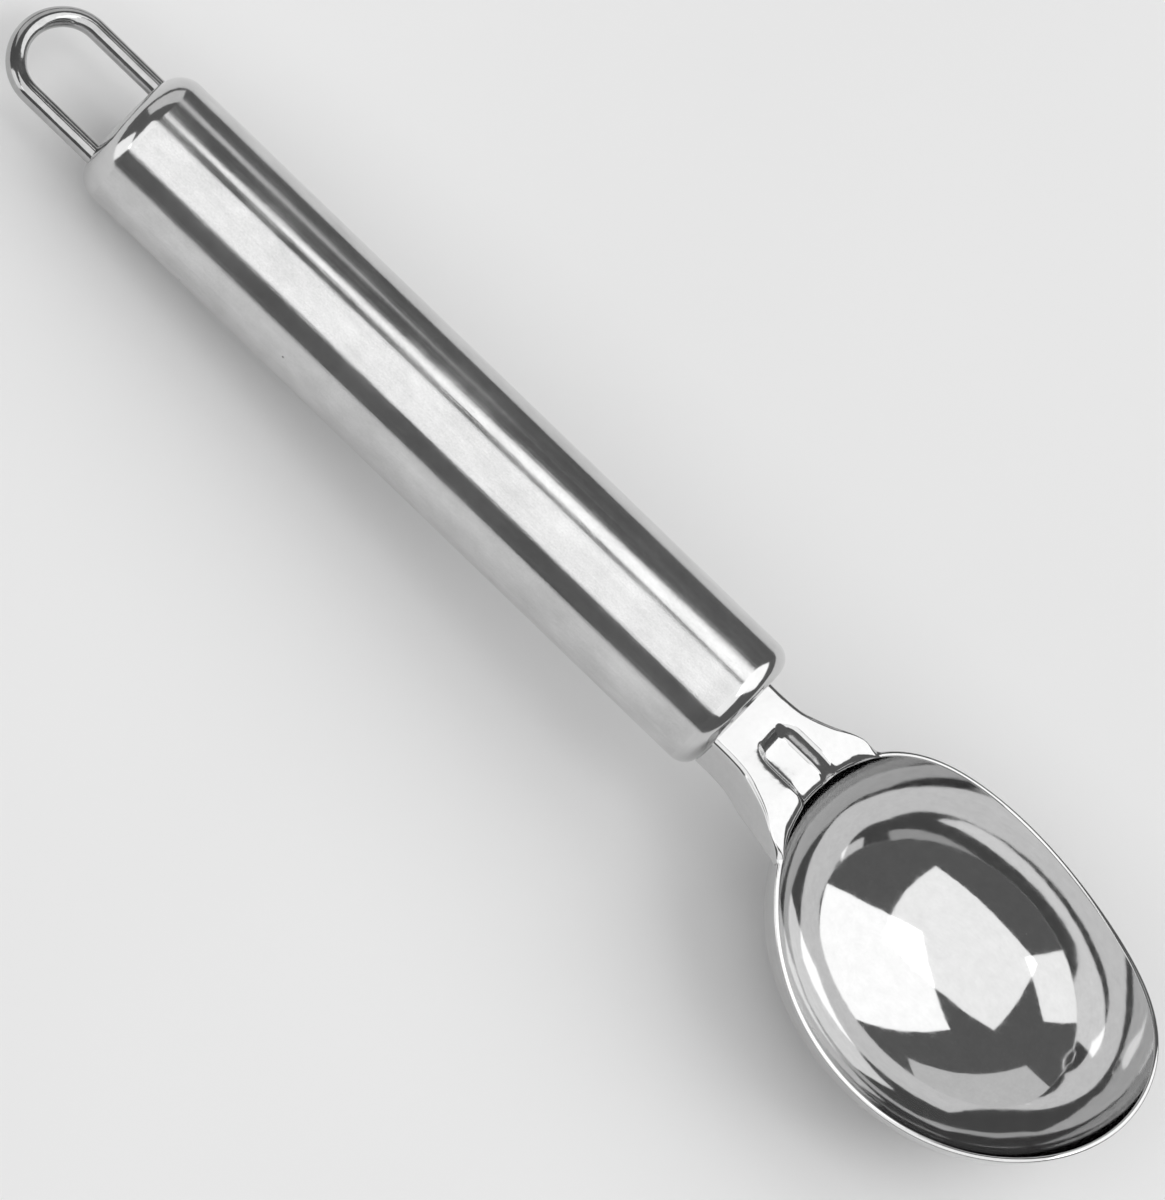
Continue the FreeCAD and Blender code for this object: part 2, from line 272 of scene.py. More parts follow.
# Fold between the neck's upper face and the bowl: a quarter of an oval, long on the neck's side.
a_mid, b_mid = 2.1, 1.2
tip_fade = np.clip((1 - np.abs(s)) / 0.42, 0, 1)
fade = tip_fade * tip_fade * (3 - 2 * tip_fade)
A_F = 0.34 + (a_mid - 0.34) * fade
B_F = EDGE + (b_mid - EDGE) * fade


def wall_end(phi, b_f):
    """q where the bowl's inside ends under the neck, so that the fold meets the neck's face."""
    lo, hi = np.full(phi.shape, 0.5), np.full(phi.shape, 1.0)
    for _ in range(40):
        m = (lo + hi) / 2
        h = level_to_handle(bowl_point(phi, m))
        want = top_z(h[:, 0]) - b_f - groove(h[:, 0], h[:, 1])
        up = h[:, 2] < want
        lo, hi = np.where(up, m, lo), np.where(up, hi, m)
    return (lo + hi) / 2


def rim_end(phi):
    lo, hi = np.full(phi.shape, 0.4), np.full(phi.shape, 1.0)
    for _ in range(40):
        m = (lo + hi) / 2
        p = bowl_point(phi, m)
        up = p[:, 2] < rim_height(p[:, 0])
        lo, hi = np.where(up, m, lo), np.where(up, hi, m)
    return (lo + hi) / 2


REST = 236
phi_rest = np.linspace(math.pi + DPHI, math.pi - DPHI + 2 * math.pi, REST + 2)[1:-1]
q_neck = wall_end(phi_neck, B_F)
q_rest = rim_end(phi_rest)
# bring the neck's end of the wall to the plain edge at the ears' tips
q_edge = rim_end(phi_neck)
near = np.clip((1 - np.abs(s)) / 0.12, 0, 1)
near = near * near * (3 - 2 * near)
q_neck = q_edge + (q_neck - q_edge) * near
phi_all = np.concatenate([phi_neck, phi_rest])
q_all = np.concatenate([q_neck, q_rest])
# phi_neck runs down from pi+DPHI at s=-1; put every column in order of angle
order = np.argsort(phi_all)
rank = np.empty_like(order)
rank[order] = np.arange(len(order))
phi_all, q_all = phi_all[order], q_all[order]

ROWS_IN = 64
u = np.linspace(0, 1, ROWS_IN)[:, None]
share = np.sin(u * math.pi / 2) ** 2 * 0.5 + u * u * 0.5      # q share: even steps along the curve
share[0] = 1e-7
Q = share * q_all[None, :]
PH = np.broadcast_to(phi_all[None, :], Q.shape)
inner = level_to_handle(bowl_point(PH, Q))
inner_n = level_dir(bowl_normal(PH, Q))
inner[0] = inner[0].mean(0)

head = Sheets()
head.grid(inner, inner_n, close=True)

# rounded edge of the bowl away from the neck, and the outside
wall_top = inner[-1]
wall_n = inner_n[-1]
tangent = unit(np.roll(wall_top, -1, 0) - np.roll(wall_top, 1, 0))
rise = unit(np.cross(wall_n, tangent))
rise = np.where((rise[:, 2] < 0)[:, None], -rise, rise)
EDGE_ROWS = 9


def edge_profile(p, n, up, thick, stand):
    """Rows from p over a rounded edge to p - thick*n."""
    rows, norms = [], []
    for k in range(EDGE_ROWS):
        a = math.pi * k / (EDGE_ROWS - 1)
        c_, s_ = math.cos(a), math.sin(a)
        cx = math.copysign(abs(c_) ** 0.7, c_)
        sy = s_ ** 0.7
        rows.append(p - n * (thick / 2) * (1 - cx) + up * stand * sy)
        nx = math.copysign(abs(c_) ** 1.3, c_)
        ny = s_ ** 1.3 * (thick / 2 / max(stand, 1e-6)) ** 0.5
        norms.append(unit(n * nx + up * ny))
    return np.stack(rows), np.stack(norms)


edge_p, edge_n = edge_profile(wall_top, wall_n, rise, T, EDGE)
cols_rest = [rank[COLS + i] for i in range(REST)]
first_tip, last_tip = rank[COLS - 1], rank[0]      # s=+1 (angle pi-DPHI) and s=-1 (angle pi+DPHI)
# columns of the plain edge in order, from the -y ear's tip round the front to the +y ear's tip
n_all = len(phi_all)
ring = [last_tip]
while ring[-1] != first_tip:
    ring.append((ring[-1] + 1) % n_all)
head.grid(edge_p[:, ring], edge_n[:, ring])

# outside of the bowl: the inside moved out by the sheet's thickness
outer_top_q = q_all.copy()
ROWS_OUT = 46
uo = np.linspace(0, 1, ROWS_OUT)[:, None]
share_o = np.sin(uo * math.pi / 2) ** 2 * 0.5 + uo * uo * 0.5
share_o[0] = 1e-7
outer_q = share_o * outer_top_q[None, :]
PO = np.broadcast_to(phi_all[None, :], outer_q.shape)
on = bowl_normal(PO, outer_q)
outer = level_to_handle(bowl_point(PO, outer_q) - T * on)
outer_n = -level_dir(on)
outer[0] = outer[0].mean(0)
head.grid(outer, outer_n, flip=True, close=True)

# ---- neck: straight lines in plan from the bowl (row 0) to the neck's outline (last row)
neck_cols = [rank[i] for i in range(COLS)]         # s from -1 to +1
S3 = wall_top[neck_cols]
Sn = wall_n[neck_cols]
SO = S3 - Sn * T                                    # outside of the bowl's wall there
tip_out = SO[-1]

side_x = np.concatenate([np.linspace(0, 12, 49), np.linspace(12.15, tip_out[0], 50)])
side_y = half_y(side_x)
side_y = side_y + (abs(tip_out[1]) - side_y[-1]) * np.clip((side_x - 14.5) / (tip_out[0] - 14.5), 0, 1) ** 2
length = np.concatenate([[0], np.cumsum(np.hypot(np.diff(side_x), np.diff(side_y)))])
BACK = 46                                           # columns each side of the middle that end at the handle
k = np.arange(HALF_COLS + 1)
end_x = np.zeros(HALF_COLS + 1)
end_y = np.zeros(HALF_COLS + 1)
flat = 5.9
end_y[:41] = flat * k[:41] / 40
end_y[40:BACK + 1] = flat + (6.8 - flat) * np.sin(np.linspace(0, 1, BACK - 39) * math.pi / 2)
f = (k[BACK:] - BACK) / (HALF_COLS - BACK)
along = length[-1] * (0.75 * f + 0.25 * f * f * (3 - 2 * f))
end_x[BACK:] = np.interp(along, length, side_x)
end_y[BACK:] = np.interp(along, length, side_y)
EX = np.concatenate([end_x[::-1], end_x[1:]])
EY = np.concatenate([-end_y[::-1], end_y[1:]])

ROWS_TOP = 129
t = (1 - np.cos(np.linspace(0, math.pi, ROWS_TOP))) / 2
t = (0.72 * t + 0.28 * np.linspace(0, 1, ROWS_TOP))[:, None]
X = S3[None, :, 0] * (1 - t) + EX[None, :] * t
Y = S3[None, :, 1] * (1 - t) + EY[None, :] * t

rim_line = S3[:, :2]
d_rim = segment_distance(X, Y, rim_line)
outline = np.concatenate([[[-6.0, 6.8]], np.stack([side_x, side_y], -1)])
d_out = np.minimum(segment_distance(X, np.abs(Y), outline), 99)
A_O = 0.34 + (0.85 - 0.34) * fade
B_O = EDGE + (0.85 - EDGE) * fade
# where the neck is narrow near the ears' tips neither fold may take more than its share
gap = np.hypot(S3[:, 0] - EX, S3[:, 1] - EY)
a_f = np.minimum(A_F, gap * 0.62)
a_o = np.minimum(A_O, gap * 0.42)
w1 = np.clip((a_f - d_rim) / a_f, 0, 1)
w1[0] = 1
w2 = np.clip((a_o - d_out) / a_o, 0, 1)
w2 = np.where((np.abs(Y) > np.interp(X, side_x, side_y)) & (X < 12), 1.0, w2)      # just past the outline
w2[-1] = np.where(np.abs(np.arange(COLS) - HALF_COLS) >= BACK, 1, w2[-1])
base_z = top_z(X) - B_F * (1 - np.sqrt(1 - w1 ** 2)) - B_O * (1 - np.sqrt(1 - w2 ** 2))
Z = base_z - groove(X, Y)
mis_s = S3[:, 2] - Z[0]
near_tip = np.clip((1 - np.abs(s)) / 0.1, 0, 1)
near_tip = 1 - near_tip * near_tip * (3 - 2 * near_tip)
mis_e = (SO[:, 2] - Z[-1]) * near_tip
fix = (1 - t) * mis_s[None, :] + t * mis_e[None, :]
Z = Z + fix
top = np.stack([X, Y, Z], -1)
top[0] = S3
neck = Sheets()
top_n = np.zeros_like(top)
top_n[0] = Sn
neck.grid(top, None, flip=True, given=top_n)


def toward(X, Y, line):
    """Unit vector from each point to the nearest point of a polyline."""
    a, b = line[:-1], line[1:]
    d = b - a
    ll = (d * d).sum(1)
    shape = X.shape
    px, py = X.reshape(-1, 1), Y.reshape(-1, 1)
    tt = np.clip(((px - a[:, 0]) * d[:, 0] + (py - a[:, 1]) * d[:, 1]) / ll, 0, 1)
    qx, qy = a[:, 0] + tt * d[:, 0], a[:, 1] + tt * d[:, 1]
    i = np.hypot(px - qx, py - qy).argmin(1)
    r = np.arange(len(i))
    v = np.stack([qx[r, i] - px[:, 0], qy[r, i] - py[:, 0]], -1)
    m = np.linalg.norm(v, axis=1, keepdims=True)
    return (v / np.maximum(m, 1e-9)).reshape(shape + (2,)), m.reshape(shape)


STEP = 4
sub = slice(None, None, STEP)
Xs, Ys, Zs = X[sub], Y[sub], Z[sub]
h1, m1 = toward(Xs, Ys, rim_line)
h1[0] = Sn[:, :2] / np.linalg.norm(Sn[:, :2], axis=1, keepdims=True)
edge_dir = np.stack([np.gradient(side_x), np.gradient(side_y)], -1)
edge_dir /= np.linalg.norm(edge_dir, axis=1, keepdims=True)
side_n = np.stack([-np.interp(np.abs(EX), side_x, edge_dir[:, 1]), np.interp(np.abs(EX), side_x, edge_dir[:, 0])], -1)
side_n[:, 1] *= np.where(EY < 0, -1, 1)
side_n /= np.linalg.norm(side_n, axis=1, keepdims=True)
h2 = np.stack([-np.interp(Xs, side_x, edge_dir[:, 1]), np.interp(Xs, side_x, edge_dir[:, 0]) * np.where(Ys < 0, -1, 1)], -1)
h2[-1] = side_n
ws1, ws2 = w1[sub], w2[sub]
n_fold = np.stack([
    h1[..., 0] * ws1 / a_f + h2[..., 0] * ws2 / a_o,
    h1[..., 1] * ws1 / a_f + h2[..., 1] * ws2 / a_o,
    np.sqrt(1 - ws1 ** 2) / B_F * np.sqrt(1 - ws2 ** 2) + 0 * ws1], -1)
zero = (ws1 <= 0) & (ws2 <= 0)
n_fold[zero] = (0, 0, 1)
n_fold = unit(n_fold)
n_fold[0] = Sn
t_f = np.clip(np.minimum(T, gap - T), 0.0, T)
shell = np.full(Xs.shape, T)
rows_u = Xs.shape[0]
taper = (np.linspace(0, 1, rows_u) ** 1.0)[:, None]
shell = T * (1 - taper) + np.minimum(T, np.maximum(t_f, 0.0))[None, :] * taper
under = np.stack([Xs, Ys, Zs], -1) - n_fold * shell[..., None]
on_side = np.abs(np.arange(COLS) - HALF_COLS) >= BACK
under[-1] = np.where(on_side[:, None], top[-1] - np.concatenate([side_n * t_f[:, None], np.zeros((COLS, 1))], 1), top[-1] - np.array([0, 0, T]))
under[0] = SO
under_n = np.zeros_like(under)
under_n[0] = -Sn
neck.grid(under, None, given=under_n)

# flanges, one each side
for sign in (-1, 1):
    cols = np.where(on_side & (np.sign(EY) == sign))[0]
    if sign < 0:
        cols = cols[::-1]                            # from the handle to the ear's tip
    P = top[-1][cols]
    N = np.concatenate([side_n[cols], np.zeros((len(cols), 1))], 1)
    knots = np.arange(-3, 21, 0.05)
    edge = np.interp(knots, [0, 8.0, 9.0, 10.0, 11.0, 12.0, 13.0, 14.0, 15.0, 16.0, 17.0, 17.8, 18.1, 18.36],
                   [-6.35, -6.35, -6.3, -6.15, -5.8, -5.2, -4.5, -3.9, -3.5, -3.3, -3.1, -2.75, -2.45, -1.9])
    kern = np.exp(-0.5 * (np.arange(-60, 61) * 0.05 / 0.7) ** 2)
    soft_edge = np.convolve(np.pad(edge, 60, mode="edge"), kern / kern.sum(), mode="valid")
    mixw = np.clip((knots - 16.6) / 1.2, 0, 1)
    zb = np.interp(P[:, 0], knots, soft_edge * (1 - mixw) + edge * mixw)
    zb = np.minimum(zb, P[:, 2] - 0.01)
    thick = np.maximum(t_f[cols], 0.0)
    stand = np.minimum(0.2, (P[:, 2] - zb) * 0.5)
    r = np.linspace(0, 1, 12)[:, None]
    face = np.repeat(P[None], 12, 0)
    face[..., 2] = P[None, :, 2] * (1 - r) + (zb + stand)[None, :] * r
    wrap, turned = [], []
    for a in np.linspace(0, math.pi, 9):
        c_, s_ = math.cos(a), math.sin(a)
        cx = math.copysign(abs(c_) ** 0.7, c_)
        q3 = face[-1] - N * (thick[:, None] / 2) * (1 - cx)
        q3[:, 2] -= stand * s_ ** 0.7
        wrap.append(q3)
    wrap = np.stack(wrap)
    back_face = face[::-1] - (N * thick[:, None])[None]
    whole = np.concatenate([face, wrap[1:-1], back_face])
    neck.grid(whole, None, flip=(sign < 0))
    # the flange's end against the handle
    e0, e1 = face[:, 0], back_face[::-1][:, 0]
    end = np.stack([np.concatenate([e0, wrap[:, 0][1:5]]), np.concatenate([e1, wrap[:, 0][::-1][1:5]])], 1)
    neck.grid(end, None, flip=(sign > 0))
# the neck's end against the handle
mid = np.where(np.abs(np.arange(COLS) - HALF_COLS) <= BACK)[0]
neck.grid(np.stack([top[-1][mid], under[-1][mid]]), None, flip=True)

# rounded edge round the rest of the bowl: same edge as the ears' tips at its two ends
tipcol = {last_tip: 0, first_tip: COLS - 1}
ring = [last_tip]
while ring[-1] != first_tip:
    ring.append((ring[-1] + 1) % n_all)
head_edge_rows = (ROWS_TOP - 1) // 8 + 1


def edge_rows(p, n, up, thick, stand, count):
    rows, norms = [], []
    for i in range(count):
        a = math.pi * i / (count - 1)
        c_, s_ = math.cos(a), math.sin(a)
        cx = math.copysign(abs(c_) ** 0.75, c_)
        rows.append(p - n * (thick / 2) * (1 - cx) + up * stand * s_ ** 0.75)
        norms.append(unit(n * math.copysign(abs(c_) ** 1.25, c_) + up * s_ ** 1.25 * 1.3))
    return np.stack(rows), np.stack(norms)


edge_p, edge_n = edge_rows(wall_top, wall_n, rise, T, EDGE, head_edge_rows)
edge_p, edge_n = edge_p[:, ring], edge_n[:, ring]
edge_p[:, 0] = top[::8, 0]
edge_p[:, -1] = top[::8, COLS - 1]
head.grid(edge_p, edge_n)

# tang inside the handle
tx, ty, tz = (-20.0, 0.0), (-6.0, 6.0), (0.3, 1.1)
for face in (
    [(tx[0], ty[0], tz[1]), (tx[1], ty[0], tz[1]), (tx[0], ty[1], tz[1]), (tx[1], ty[1], tz[1])],
    [(tx[0], ty[1], tz[0]), (tx[1], ty[1], tz[0]), (tx[0], ty[0], tz[0]), (tx[1], ty[0], tz[0])],
    [(tx[0], ty[0], tz[0]), (tx[1], ty[0], tz[0]), (tx[0], ty[0], tz[1]), (tx[1], ty[0], tz[1])],
    [(tx[0], ty[1], tz[1]), (tx[1], ty[1], tz[1]), (tx[0], ty[1], tz[0]), (tx[1], ty[1], tz[0])],
    [(tx[0], ty[0], tz[0]), (tx[0], ty[0], tz[1]), (tx[0], ty[1], tz[0]), (tx[0], ty[1], tz[1])],
    [(tx[1], ty[0], tz[1]), (tx[1], ty[0], tz[0]), (tx[1], ty[1], tz[1]), (tx[1], ty[1], tz[0])],
):
    neck.grid(np.array(face, float).reshape(2, 2, 3), None)
scoop = head.build("head_bowl")
stem = neck.build("head_neck")
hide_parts("scoop_head")
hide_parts("scoop_head")


# ------------------------------------------------------------------ handle and caps
def arc(cx, cr, rad, a0, a1, n):
    """Points and normals of an arc in the (x, radius) plane."""
    out = []
    for i in range(n + 1):
        a = math.radians(a0 + (a1 - a0) * i / n)
        out.append((cx + rad * math.cos(a), cr + rad * math.sin(a), math.cos(a), math.sin(a)))
    return out


def line(x0, r0, x1, r1, nx, nr, n=1):
    return [(x0 + (x1 - x0) * i / n, r0 + (r1 - r0) * i / n, nx, nr) for i in range(n + 1)]


def turned(name, runs, around=320):
    """A turned part: each run is a list of (x, radius, nx, nr), and runs meet at sharp corners."""
    th = np.linspace(0, 2 * math.pi, around, endpoint=False)
    verts, norms, faces = [], [], []
    for run in runs:
        base = len(verts)
        for (x, r, nx, nr) in run:
            for a in th:
                verts.append((x, r * math.cos(a), r * math.sin(a)))
                norms.append((nx, nr * math.cos(a), nr * math.sin(a)))
        for i in range(len(run) - 1):
            for j in range(around):
                k2 = (j + 1) % around
                a_, b_, c_, d_ = base + i * around + j, base + i * around + k2, base + (i + 1) * around + k2, base + (i + 1) * around + j
                faces.append((a_, b_, c_, d_))
    v = np.array(verts)
    n = unit(np.array(norms))
    # sharp corners keep two sets of vertices
    me = bpy.data.meshes.new(name)
    q = []
    for f_ in faces:
        p = v[list(f_)]
        nrm = np.cross(p[2] - p[0], p[3] - p[1])
        if np.dot(nrm, n[list(f_)].sum(0)) < 0:
            f_ = f_[::-1]
        q.append(f_)
    me.from_pydata(to_row(v).tolist(), [], q)
    me.update()
    me.shade_smooth()
    me.normals_split_custom_set_from_vertices(dir_row(n).tolist())
    ob = bpy.data.objects.new(name, me)
    bpy.context.scene.collection.objects.link(ob)
    return ob


R0, RI = 11.0, 10.2
tube = turned("handle_body", [
    line(-116.0, R0, -3.0, R0, 0, 1, 60),
    line(-3.0, R0, -3.0, RI, 1, 0),
    line(-3.0, RI, -116.0, RI, 0, -1),
    line(-116.0, RI, -116.0, R0, -1, 0),
])
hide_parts("handle_tube", "front_cap_weld", "rear_cap_weld")
FR, RR = 3.0, 4.0
front = turned("front_cap", [
    [(-7.0, 9.4, -1, 0), (-7.0, 10.2, -1, 0)],
    [(-7.0, 10.2, 0, 1), (-3.0, 10.2, 0, 1)],
    [(-3.0, 10.2, -1, 0), (-3.0, R0, -1, 0)],
    arc(-FR, R0 - FR, FR, 90, 0, 26) + [(0.0, 4.0, 1, 0), (0.0, 0.02, 1, 0)],
    [(-0.8, 0.02, -1, 0), (-0.8, 8.0, -1, 0)] + arc(-FR, R0 - FR, FR - 0.8, 0, 90, 12)[1:] ,
    [(-3.0, 10.2, 0, -1), (-3.001, 9.4, 0, -1), (-7.0, 9.4, 0, -1)],
])
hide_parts("front_end_cap")
rear = turned("rear_cap", [
    [(-112.0, 9.4, 1, 0), (-112.0, 10.2, 1, 0)],
    [(-112.0, 10.2, 0, 1), (-116.0, 10.2, 0, 1)],
    [(-116.0, 10.2, 1, 0), (-116.0, R0, 1, 0)],
    arc(-120 + RR, R0 - RR, RR, 90, 180, 30) + [(-120.0, 3.5, -1, 0), (-120.0, 0.02, -1, 0)],
    [(-119.2, 0.02, 1, 0), (-119.2, 7.0, 1, 0)] + arc(-120 + RR, R0 - RR, RR - 0.8, 180, 90, 12)[1:],
    [(-116.0, 10.2, 0, -1), (-115.999, 9.4, 0, -1), (-112.0, 9.4, 0, -1)],
])
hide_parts("rear_end_cap")


# ------------------------------------------------------------------ hanging loop
def loop_path():
    """Centre line of the wire in the handle's frame."""
    y0 = 14.92 / 2
    r1, r2 = 5.9, 7.99
    tip = -140.3 + 1.5
    # side arcs start where the legs end and meet the end arc smoothly
    lo, hi = 20.0, 90.0
    for _ in range(60):
        m = (lo + hi) / 2
        am = math.radians(m)
        # side arc turns by m, end arc from there to the middle
        y_join = y0 - r1 * (1 - math.cos(am))
        y_end = r2 * math.cos(am)
        if y_join > y_end:
            hi = m
        else:
            lo = m
    am = math.radians((lo + hi) / 2)
    pts = []
    x_c = tip + r2
    x_join = x_c - r2 * math.sin(am)
    x_leg = x_join + r1 * math.sin(am)
    for i in range(41):
        f_ = i / 40
        pts.append((-116.8 + (x_leg + 116.8) * f_, y0))
    for i in range(1, 33):
        a = am * i / 32
        pts.append((x_leg - r1 * math.sin(a), y0 - r1 * (1 - math.cos(a))))
    half = 48
    for i in range(1, 2 * half):
        a = am + (math.pi - 2 * am) * i / (2 * half)
        pts.append((x_c - r2 * math.sin(a), r2 * math.cos(a)))
    for i in range(32, 0, -1):
        a = am * i / 32
        pts.append((x_leg - r1 * math.sin(a), -(y0 - r1 * (1 - math.cos(a)))))
    for i in range(40, -1, -1):
        f_ = i / 40
        pts.append((-116.8 + (x_leg + 116.8) * f_, -y0))
    return np.array(pts)


path = loop_path()
tan = unit(np.gradient(path, axis=0))
side = np.stack([tan[:, 1], -tan[:, 0]], -1)
AROUND = 72
th = np.linspace(0, 2 * math.pi, AROUND, endpoint=False)
ring_n = np.stack([side[:, None, 0] * np.cos(th)[None], side[:, None, 1] * np.cos(th)[None], np.broadcast_to(np.sin(th)[None], (len(path), AROUND))], -1)
centre = np.concatenate([path, np.zeros((len(path), 1))], 1)
wire_pts = centre[:, None, :] + 1.5 * ring_n
wire = Sheets()
wire.grid(wire_pts, ring_n, close=True, flip=False)
loop = wire.build("hanging_wire", merge=1e-4)
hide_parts("hanging_loop")

for ob in (scoop, stem, tube, front, rear, loop):
    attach(ob, "root")


# ------------------------------------------------------------------ node helpers
class Nodes:
    def __init__(self, name):
        self.mat = bpy.data.materials.new(name)
        self.mat.use_nodes = True
        self.nt = self.mat.node_tree
        self.nt.nodes.clear()

    def new(self, kind, **inputs):
        n = self.nt.nodes.new(kind)
        for key, value in inputs.items():
            if key.startswith("_"):
                setattr(n, key[1:], value)
        return n

    def put(self, socket, value):
        if isinstance(value, bpy.types.NodeSocket):
            self.nt.links.new(value, socket)
        else:
            socket.default_value = value

    def math(self, op, a, b=0.0, c=0.0, clamp=False):
        n = self.nt.nodes.new("ShaderNodeMath")
        n.operation = op
        n.use_clamp = clamp
        for i, v in enumerate((a, b, c)):
            self.put(n.inputs[i], v)
        return n.outputs[0]

    def dot(self, v, axis):
        n = self.nt.nodes.new("ShaderNodeVectorMath")
        n.operation = "DOT_PRODUCT"
        self.put(n.inputs[0], v)
        n.inputs[1].default_value = axis
        return n.outputs["Value"]

    def join(self, x, y, z):
        n = self.nt.nodes.new("ShaderNodeCombineXYZ")
        for i, v in enumerate((x, y, z)):
            self.put(n.inputs[i], v)
        return n.outputs[0]

    def scaled(self, v, by):
        n = self.nt.nodes.new("ShaderNodeVectorMath")
        n.operation = "MULTIPLY"
        self.put(n.inputs[0], v)
        n.inputs[1].default_value = by
        return n.outputs[0]

    def noise(self, v, scale, detail=2.0, rough=0.5):
        n = self.nt.nodes.new("ShaderNodeTexNoise")
        self.put(n.inputs["Vector"], v)
        n.inputs["Scale"].default_value = scale
        n.inputs["Detail"].default_value = detail
        n.inputs["Roughness"].default_value = rough
        return n.outputs[0]

    def range(self, v, a, b, c, d, kind="LINEAR"):
        n = self.nt.nodes.new("ShaderNodeMapRange")
        n.interpolation_type = kind
        n.clamp = True
        self.put(n.inputs["Value"], v)
        for key, value in (("From Min", a), ("From Max", b), ("To Min", c), ("To Max", d)):
            self.put(n.inputs[key], value)
        return n.outputs["Result"]

    def specks(self, v, scale, size, share):
        """1 in small round specks, 0 elsewhere; share of cells that hold one."""
        n = self.nt.nodes.new("ShaderNodeTexVoronoi")
        self.put(n.inputs["Vector"], v)
        n.inputs["Scale"].default_value = scale
        sep = self.nt.nodes.new("ShaderNodeSeparateColor")
        self.nt.links.new(n.outputs["Color"], sep.inputs[0])
        has = self.math("LESS_THAN", sep.outputs[0], share)
        near = self.range(n.outputs["Distance"], size * 0.4, size, 1.0, 0.0, "SMOOTHSTEP")
        return self.math("MULTIPLY", has, near)

    def handle_mm(self):
        """Position in the handle's frame, in millimetres, fixed to the object."""
        tc = self.nt.nodes.new("ShaderNodeTexCoord")
        p = self.scaled(tc.outputs["Object"], (1000.0, 1000.0, 1000.0))
        x = self.math("ADD", self.dot(p, (CT, 0.0, ST)), -(SHIFT_X * CT + SHIFT_Z * ST) + PIVOT)
        y = self.dot(p, (0.0, 1.0, 0.0))
        z = self.math("ADD", self.dot(p, (-ST, 0.0, CT)), -(-SHIFT_X * ST + SHIFT_Z * CT))
        return x, y, z, self.join(x, y, z)

    def steel(self, colour, rough, normal=None):
        b = self.nt.nodes.new("ShaderNodeBsdfPrincipled")
        b.inputs["Metallic"].default_value = 1.0
        self.put(b.inputs["Base Color"], colour)
        self.put(b.inputs["Roughness"], rough)
        if normal is not None:
            self.nt.links.new(normal, b.inputs["Normal"])
        o = self.nt.nodes.new("ShaderNodeOutputMaterial")
        self.nt.links.new(b.outputs[0], o.inputs["Surface"])
        return b

    def bump(self, height, distance, strength=1.0, onto=None):
        n = self.nt.nodes.new("ShaderNodeBump")
        n.inputs["Strength"].default_value = strength
        n.inputs["Distance"].default_value = distance
        self.nt.links.new(height, n.inputs["Height"])
        if onto is not None:
            self.nt.links.new(onto, n.inputs["Normal"])
        return n.outputs[0]

    def grey(self, value, r=1.0, g=1.0, b=1.0):
        n = self.nt.nodes.new("ShaderNodeCombineColor")
        self.put(n.inputs[0], self.math("MULTIPLY", value, r))
        self.put(n.inputs[1], self.math("MULTIPLY", value, g))
        self.put(n.inputs[2], self.math("MULTIPLY", value, b))
        return n.outputs[0]


F0 = 0.62
F0_WIRE = 0.47


def satin(name):
    """Lengthwise brushed steel of the handle's tube."""
    m = Nodes(name)
    x, y, z, p = m.handle_mm()
    fine = m.noise(m.scaled(p, (0.045, 5.5, 5.5)), 1.0, 3.0, 0.6)
    broad = m.noise(m.scaled(p, (0.02, 1.1, 1.1)), 1.0, 2.0, 0.5)
    mottle = m.noise(m.scaled(p, (0.09, 0.16, 0.16)), 1.0, 3.0, 0.55)
    grain = m.noise(m.scaled(p, (0.7, 1.0, 1.0)), 4.2, 2.0, 0.7)
    speck = m.specks(p, 0.16, 0.045, 0.32)
    rough = m.math("ADD", m.range(mottle, 0.3, 0.7, 0.09, 0.17), m.range(fine, 0.3, 0.7, -0.02, 0.035))
    rough = m.math("ADD", rough, m.math("MULTIPLY", speck, 0.3))
    patch = m.noise(m.scaled(p, (0.2, 0.34, 0.34)), 1.0, 4.0, 0.62)
    c = m.math("ADD", m.range(mottle, 0.3, 0.7, F0 - 0.045, F0 + 0.04), m.range(fine, 0.3, 0.7, -0.022, 0.022))
    c = m.math("ADD", c, m.range(patch, 0.3, 0.7, -0.05, 0.045))
    c = m.math("ADD", c, m.range(grain, 0.3, 0.7, -0.03, 0.03))
    c = m.math("MULTIPLY", c, m.math("SUBTRACT", 1.0, m.math("MULTIPLY", speck, 0.45)))
    n1 = m.bump(fine, 0.00001, 0.35)
    n2 = m.bump(broad, 0.00002, 0.45, n1)
    n3 = m.bump(patch, 0.00003, 0.4, n2)
    n3 = m.bump(grain, 0.0000045, 0.8, n3)
    m.steel(m.grey(c, 1.0, 1.0, 1.0), rough, n3)
    return m.mat


def polished_cap(name):
    """Buffed end caps: finer, with marks running round the shoulder."""
    m = Nodes(name)
    x, y, z, p = m.handle_mm()
    radius = m.math("SQRT", m.math("ADD", m.math("MULTIPLY", y, y), m.math("MULTIPLY", z, z)))
    turn = m.noise(m.join(m.math("MULTIPLY", x, 5.0), m.math("MULTIPLY", radius, 5.0), 0.0), 1.0, 2.0, 0.6)
    mottle = m.noise(p, 0.28, 3.0, 0.55)
    speck = m.specks(p, 0.3, 0.05, 0.25)
    rough = m.math("ADD", m.range(mottle, 0.3, 0.7, 0.08, 0.15), m.range(turn, 0.3, 0.7, -0.015, 0.03))
    c = m.math("ADD", m.range(mottle, 0.3, 0.7, F0 - 0.03, F0 + 0.03), m.range(turn, 0.3, 0.7, -0.015, 0.015))
    c = m.math("MULTIPLY", c, m.math("SUBTRACT", 1.0, m.math("MULTIPLY", speck, 0.4)))
    n1 = m.bump(turn, 0.00001, 0.3)
    n2 = m.bump(mottle, 0.00008, 0.5, n1)
    m.steel(m.grey(c), rough, n2)
    return m.mat


